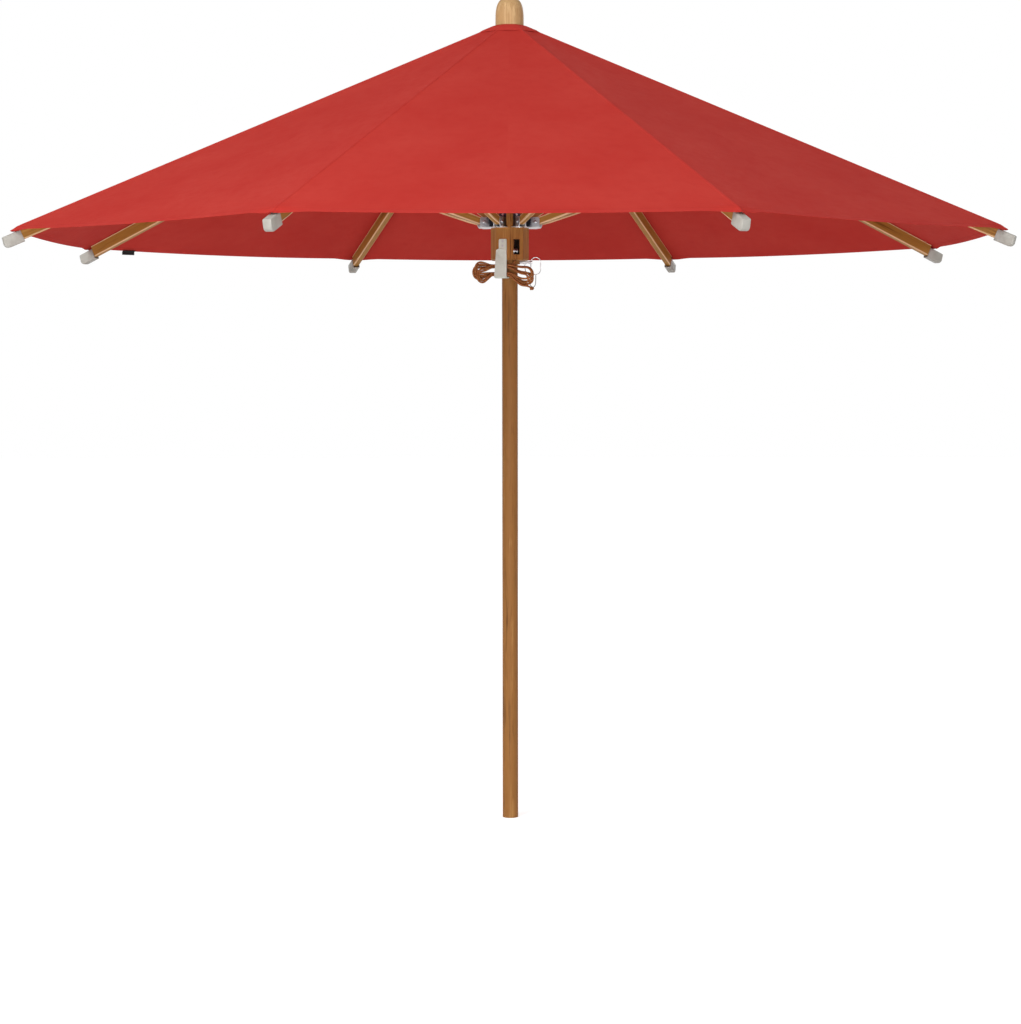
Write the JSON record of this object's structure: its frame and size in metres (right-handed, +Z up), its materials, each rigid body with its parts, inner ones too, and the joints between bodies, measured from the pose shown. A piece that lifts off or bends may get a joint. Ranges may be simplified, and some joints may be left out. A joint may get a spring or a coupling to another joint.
{
  "type": "patio umbrella",
  "caption": "Round market umbrella with a wooden pole, folding ribs and struts, a cloth canopy, a rope over pulleys and a sliding runner; the pole's foot goes into a separate base.",
  "frame": {"origin": "centre of the pole's flat foot", "axes": "+Z up along the pole, -Y towards the front, +X to the right seen from the front"},
  "size_m": [3.2516, 3.2516, 2.8655],
  "materials": {
    "wood": "oiled hardwood",
    "pale_wood": "pale turned wood",
    "steel": "brushed",
    "cloth": "woven canopy cloth",
    "plastic": "satin",
    "rope": "twisted fibre",
    "cord": "braided"
  },
  "bodies": {
    "mast": {"pole": "wood", "finial": "pale_wood", "crown_block": "wood", "crown_brackets": "steel", "crown_screws": "steel", "canopy": "cloth", "top_sheave_axle": "steel", "hoist_rope": "rope"},
    "runner": {"runner_block": "wood", "runner_brackets": "steel", "runner_bolts": "steel", "runner_fasteners": "steel", "runner_sheave_axle": "steel", "rope_hook": "plastic", "rope_tail": "rope", "rope_hank": "rope", "pin_lanyard": "cord"},
    "top_sheave": {"top_sheave": "steel"},
    "runner_sheave": {"runner_sheave": "steel"},
    "locking_pin": {"locking_pin": "steel"},
    "strut_1": {"strut_1": "wood"},
    "rib_1": {"rib_1": "wood", "rib_cap_1": "plastic", "rib_bracket_1": "steel", "rib_bolts_1": "steel"},
    "strut_2": {"strut_2": "wood"},
    "rib_2": {"rib_2": "wood", "rib_cap_2": "plastic", "rib_bracket_2": "steel", "rib_bolts_2": "steel"},
    "strut_3": {"strut_3": "wood"},
    "rib_3": {"rib_3": "wood", "rib_cap_3": "plastic", "rib_bracket_3": "steel", "rib_bolts_3": "steel"},
    "strut_4": {"strut_4": "wood"},
    "rib_4": {"rib_4": "wood", "rib_cap_4": "plastic", "rib_bracket_4": "steel", "rib_bolts_4": "steel"},
    "strut_5": {"strut_5": "wood"},
    "rib_5": {"rib_5": "wood", "rib_cap_5": "plastic", "rib_bracket_5": "steel", "rib_bolts_5": "steel"},
    "strut_6": {"strut_6": "wood"},
    "rib_6": {"rib_6": "wood", "rib_cap_6": "plastic", "rib_bracket_6": "steel", "rib_bolts_6": "steel"},
    "strut_7": {"strut_7": "wood"},
    "rib_7": {"rib_7": "wood", "rib_cap_7": "plastic", "rib_bracket_7": "steel", "rib_bolts_7": "steel"},
    "strut_8": {"strut_8": "wood"},
    "rib_8": {"rib_8": "wood", "rib_cap_8": "plastic", "rib_bracket_8": "steel", "rib_bolts_8": "steel"}
  },
  "joints": [
    {"name": "runner_slide", "type": "slide", "parent": "mast", "child": "runner", "axis": [0, 0, -1], "range_m": [0, 1.04396], "deforming": ["canopy", "hoist_rope"]},
    {"name": "strut_fold_1", "type": "hinge", "parent": "runner", "child": "strut_1", "pos_m": [-0.03827, -0.09239, 2.0892], "axis": [-0.9239, 0.3827, 0], "range_deg": [0, 73.16]},
    {"name": "rib_fold_1", "type": "hinge", "parent": "strut_1", "child": "rib_1", "pos_m": [-0.33197, -0.80146, 2.33858], "axis": [0.9239, -0.3827, 0], "range_deg": [0, 137.1]},
    {"name": "strut_fold_2", "type": "hinge", "parent": "runner", "child": "strut_2", "pos_m": [0.03827, -0.09239, 2.0892], "axis": [-0.9239, -0.3827, 0], "range_deg": [0, 73.16]},
    {"name": "rib_fold_2", "type": "hinge", "parent": "strut_2", "child": "rib_2", "pos_m": [0.33197, -0.80146, 2.33858], "axis": [0.9239, 0.3827, 0], "range_deg": [0, 137.1]},
    {"name": "strut_fold_3", "type": "hinge", "parent": "runner", "child": "strut_3", "pos_m": [0.09239, -0.03827, 2.0892], "axis": [-0.3827, -0.9239, 0], "range_deg": [0, 73.16]},
    {"name": "rib_fold_3", "type": "hinge", "parent": "strut_3", "child": "rib_3", "pos_m": [0.80146, -0.33197, 2.33858], "axis": [0.3827, 0.9239, 0], "range_deg": [0, 137.1]},
    {"name": "strut_fold_4", "type": "hinge", "parent": "runner", "child": "strut_4", "pos_m": [0.09239, 0.03827, 2.0892], "axis": [0.3827, -0.9239, 0], "range_deg": [0, 73.16]},
    {"name": "rib_fold_4", "type": "hinge", "parent": "strut_4", "child": "rib_4", "pos_m": [0.80146, 0.33197, 2.33858], "axis": [-0.3827, 0.9239, 0], "range_deg": [0, 137.1]},
    {"name": "strut_fold_5", "type": "hinge", "parent": "runner", "child": "strut_5", "pos_m": [0.03827, 0.09239, 2.0892], "axis": [0.9239, -0.3827, 0], "range_deg": [0, 73.16]},
    {"name": "rib_fold_5", "type": "hinge", "parent": "strut_5", "child": "rib_5", "pos_m": [0.33197, 0.80146, 2.33858], "axis": [-0.9239, 0.3827, 0], "range_deg": [0, 137.1]},
    {"name": "strut_fold_6", "type": "hinge", "parent": "runner", "child": "strut_6", "pos_m": [-0.03827, 0.09239, 2.0892], "axis": [0.9239, 0.3827, 0], "range_deg": [0, 73.16]},
    {"name": "rib_fold_6", "type": "hinge", "parent": "strut_6", "child": "rib_6", "pos_m": [-0.33197, 0.80146, 2.33858], "axis": [-0.9239, -0.3827, 0], "range_deg": [0, 137.1]},
    {"name": "strut_fold_7", "type": "hinge", "parent": "runner", "child": "strut_7", "pos_m": [-0.09239, 0.03827, 2.0892], "axis": [0.3827, 0.9239, 0], "range_deg": [0, 73.16]},
    {"name": "rib_fold_7", "type": "hinge", "parent": "strut_7", "child": "rib_7", "pos_m": [-0.80146, 0.33197, 2.33858], "axis": [-0.3827, -0.9239, 0], "range_deg": [0, 137.1]},
    {"name": "strut_fold_8", "type": "hinge", "parent": "runner", "child": "strut_8", "pos_m": [-0.09239, -0.03827, 2.0892], "axis": [-0.3827, 0.9239, 0], "range_deg": [0, 73.16]},
    {"name": "rib_fold_8", "type": "hinge", "parent": "strut_8", "child": "rib_8", "pos_m": [-0.80146, -0.33197, 2.33858], "axis": [0.3827, -0.9239, 0], "range_deg": [0, 137.1]},
    {"name": "top_sheave_spin", "type": "hinge", "parent": "mast", "child": "top_sheave", "pos_m": [0, 0, 2.59822], "axis": [-0.9239, -0.3827, 0], "continuous": true},
    {"name": "runner_sheave_spin", "type": "hinge", "parent": "runner", "child": "runner_sheave", "pos_m": [0.01626, -0.03927, 1.9897], "axis": [0.9239, 0.3827, 0], "continuous": true},
    {"name": "locking_pin_slide", "type": "slide", "parent": "runner", "child": "locking_pin", "axis": [1, 0, 0], "range_m": [0, 0.04]}
  ],
  "couplings": [
    {"joint": "strut_fold_1", "follows": "runner_slide", "rad_per_m": 1.2227},
    {"joint": "rib_fold_1", "follows": "runner_slide", "rad_per_m": 2.2917},
    {"joint": "strut_fold_2", "follows": "runner_slide", "rad_per_m": 1.2227},
    {"joint": "rib_fold_2", "follows": "runner_slide", "rad_per_m": 2.2917},
    {"joint": "strut_fold_3", "follows": "runner_slide", "rad_per_m": 1.2227},
    {"joint": "rib_fold_3", "follows": "runner_slide", "rad_per_m": 2.2917},
    {"joint": "strut_fold_4", "follows": "runner_slide", "rad_per_m": 1.2227},
    {"joint": "rib_fold_4", "follows": "runner_slide", "rad_per_m": 2.2917},
    {"joint": "strut_fold_5", "follows": "runner_slide", "rad_per_m": 1.2227},
    {"joint": "rib_fold_5", "follows": "runner_slide", "rad_per_m": 2.2917},
    {"joint": "strut_fold_6", "follows": "runner_slide", "rad_per_m": 1.2227},
    {"joint": "rib_fold_6", "follows": "runner_slide", "rad_per_m": 2.2917},
    {"joint": "strut_fold_7", "follows": "runner_slide", "rad_per_m": 1.2227},
    {"joint": "rib_fold_7", "follows": "runner_slide", "rad_per_m": 2.2917},
    {"joint": "strut_fold_8", "follows": "runner_slide", "rad_per_m": 1.2227},
    {"joint": "rib_fold_8", "follows": "runner_slide", "rad_per_m": 2.2917},
    {"joint": "top_sheave_spin", "follows": "runner_slide", "rad_per_m": 31.25},
    {"joint": "runner_sheave_spin", "follows": "runner_slide", "rad_per_m": 190.48}
  ]
}
